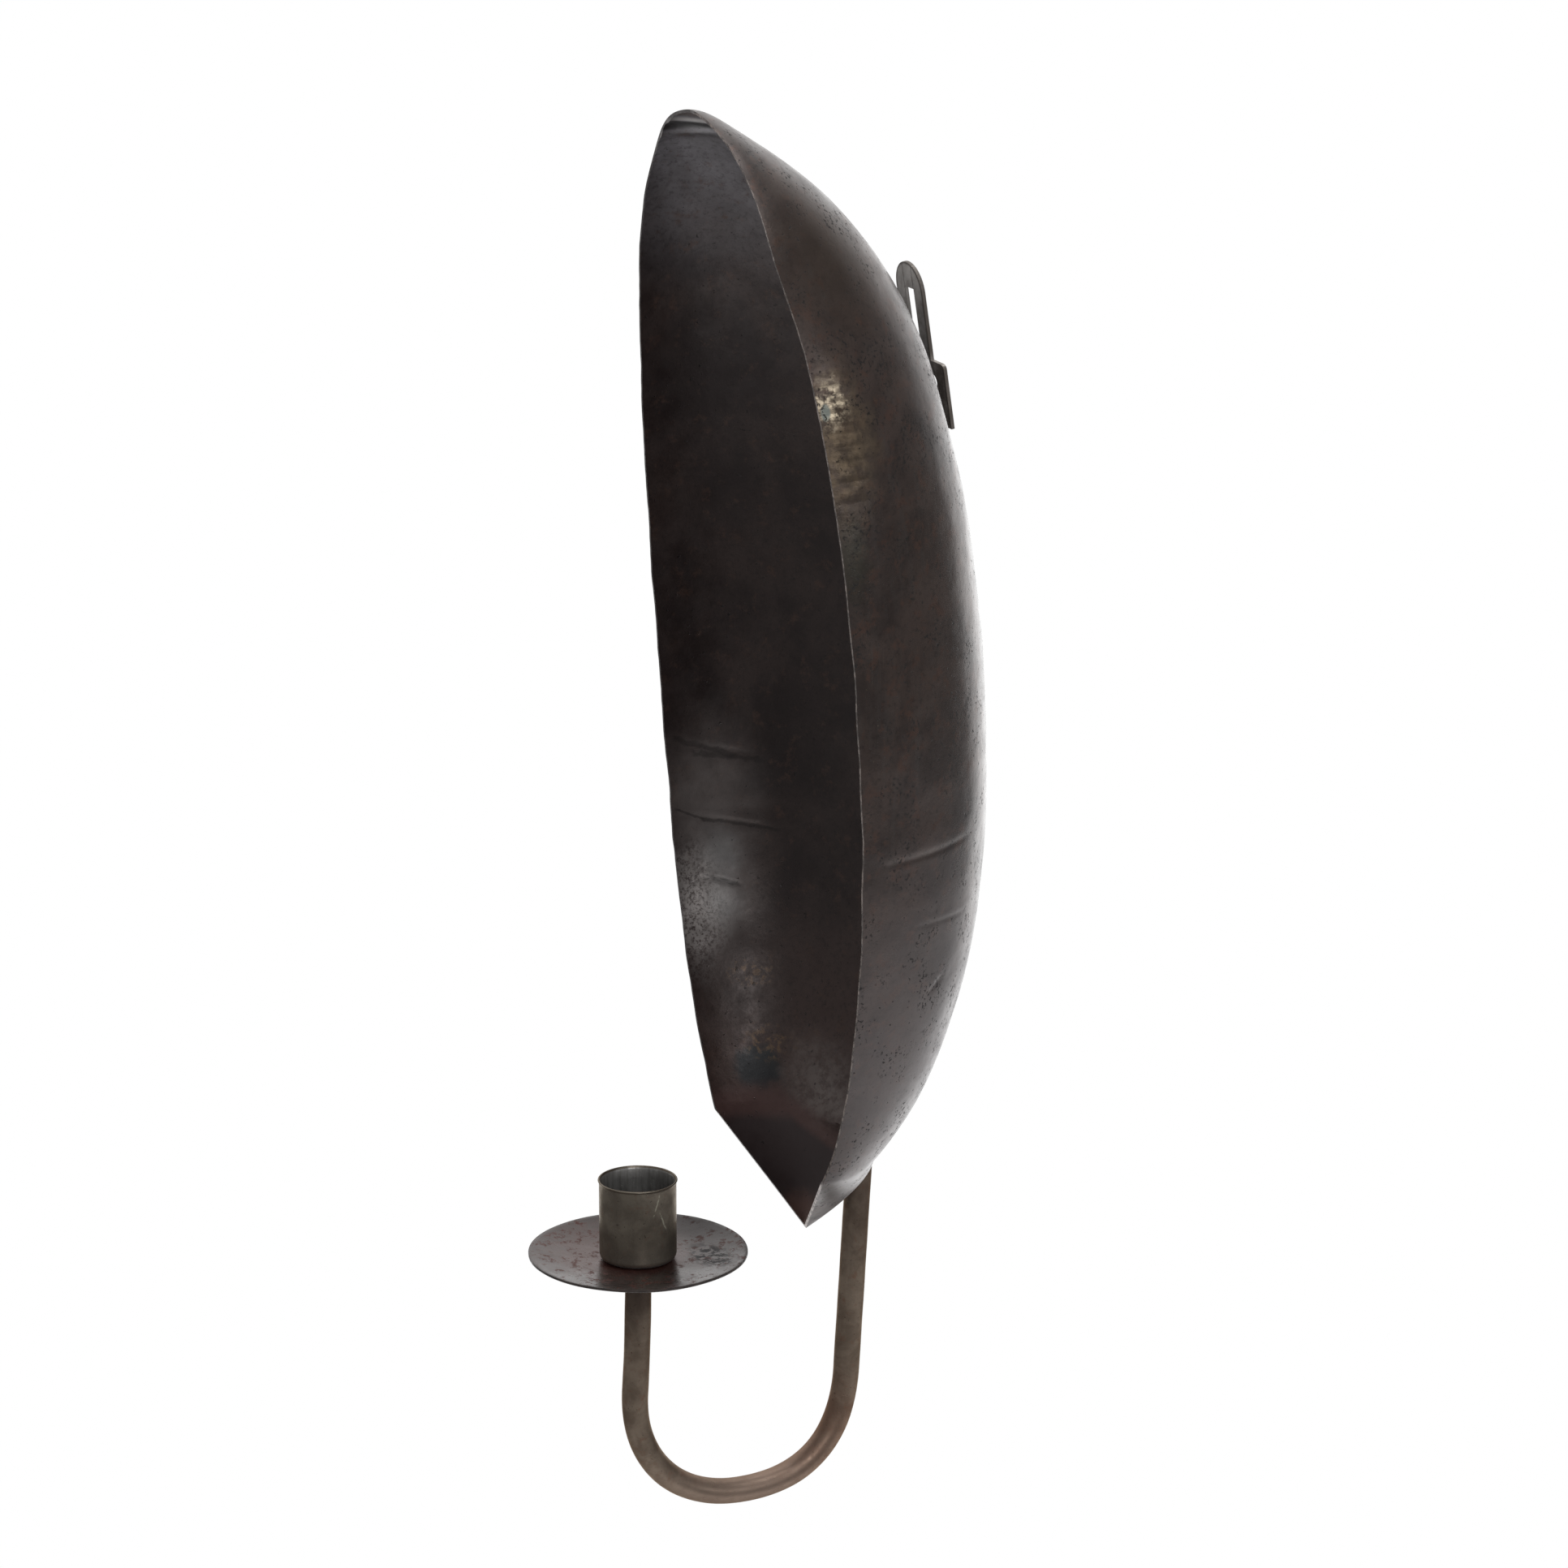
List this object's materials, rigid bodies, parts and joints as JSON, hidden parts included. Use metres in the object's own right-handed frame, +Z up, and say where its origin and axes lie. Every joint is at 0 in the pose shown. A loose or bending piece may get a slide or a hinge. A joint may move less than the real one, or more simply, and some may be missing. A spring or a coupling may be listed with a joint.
{
  "type": "wall candle holder",
  "caption": "Wall candle holder with a tall pod-shaped sheet-metal reflector, a bent tube arm, a round drip pan and a candle cup.",
  "frame": {"origin": "where the nail bears: the top edge of the hanger slot, at mid width and mid thickness of the plate", "axes": "+X across the front, -Y out of the wall to the front, +Y into the wall, +Z up"},
  "size_m": [0.14, 0.1421, 0.4379],
  "materials": {
    "shell_sheet": "dark brown patina, worn to bare metal in patches",
    "hanger_sheet": "dull grey-brown patina",
    "arm_metal": "brown patina, semi-gloss",
    "pan_sheet": "brown-grey patina with reddish mottles, semi-gloss",
    "cup_sheet": "greenish dark patina, semi-gloss",
    "solder": "dull grey solder",
    "screw_metal": "tarnished"
  },
  "bodies": {
    "root": {"reflector_shell": "shell_sheet", "hanger_plate": "hanger_sheet", "hanger_solder": "solder", "arm_tube": "arm_metal", "arm_solder": "solder", "arm_bush": "screw_metal", "drip_pan": "pan_sheet", "candle_cup": "cup_sheet", "cup_screw": "screw_metal"}
  },
  "joints": []
}
